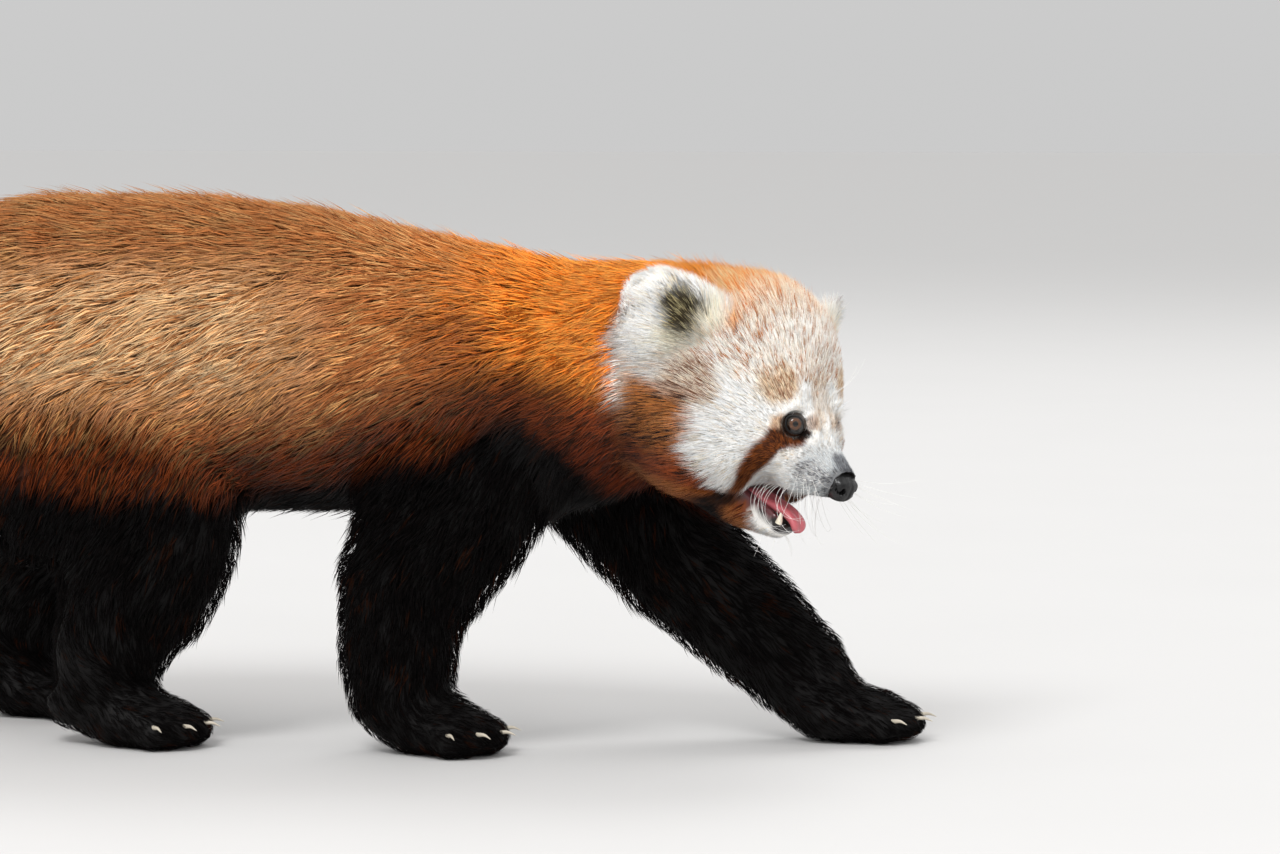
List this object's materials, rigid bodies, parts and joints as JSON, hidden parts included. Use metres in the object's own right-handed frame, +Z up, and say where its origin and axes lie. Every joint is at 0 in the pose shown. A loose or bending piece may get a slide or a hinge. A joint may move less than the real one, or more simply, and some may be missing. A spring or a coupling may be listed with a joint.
{
  "type": "red panda",
  "caption": "Life-size red panda walking, head turned and mouth open, with a rust back, black legs, white face and ears, and a ringed tail.",
  "frame": {"origin": "middle of the bounding box's base, on the floor under the body", "axes": "+X the way the animal walks, +Y its left side, +Z up"},
  "size_m": [0.8708, 0.1734, 0.2921],
  "materials": {
    "rust_coat": "thick soft fur, rust orange with paler tips",
    "black_coat": "short black fur with a slight sheen",
    "face_coat": "short white fur with rust marks",
    "ear_coat": "white fur with a dark patch",
    "tail_coat": "long fur in rust and buff rings, dark at the tip",
    "eye": "wet, dark brown iris with a black rim",
    "nose_skin": "moist black skin with fine grain",
    "tongue": "moist pink",
    "claw": "smooth pale horn"
  },
  "bodies": {
    "root": {"head": "face_coat", "lower_jaw": "face_coat", "tongue": "tongue", "nose": "nose_skin", "eye_right": "eye", "ear_right": "ear_coat", "eye_left": "eye", "ear_left": "ear_coat", "neck": "rust_coat", "chest": "rust_coat", "rump": "rust_coat", "tail_1": "tail_coat", "tail_2": "tail_coat", "tail_3": "tail_coat", "fore_right_upper": "black_coat", "fore_right_lower": "black_coat", "fore_right_paw": "black_coat", "fore_right_claw_1": "claw", "fore_right_claw_2": "claw", "fore_right_claw_3": "claw", "fore_right_claw_4": "claw", "fore_right_claw_5": "claw", "fore_left_upper": "black_coat", "fore_left_lower": "black_coat", "fore_left_paw": "black_coat", "fore_left_claw_1": "claw", "fore_left_claw_2": "claw", "fore_left_claw_3": "claw", "fore_left_claw_4": "claw", "fore_left_claw_5": "claw", "hind_right_upper": "black_coat", "hind_right_lower": "black_coat", "hind_right_paw": "black_coat", "hind_right_claw_1": "claw", "hind_right_claw_2": "claw", "hind_right_claw_3": "claw", "hind_right_claw_4": "claw", "hind_right_claw_5": "claw", "hind_left_upper": "black_coat", "hind_left_lower": "black_coat", "hind_left_paw": "black_coat", "hind_left_claw_1": "claw", "hind_left_claw_2": "claw", "hind_left_claw_3": "claw", "hind_left_claw_4": "claw", "hind_left_claw_5": "claw"}
  },
  "joints": []
}
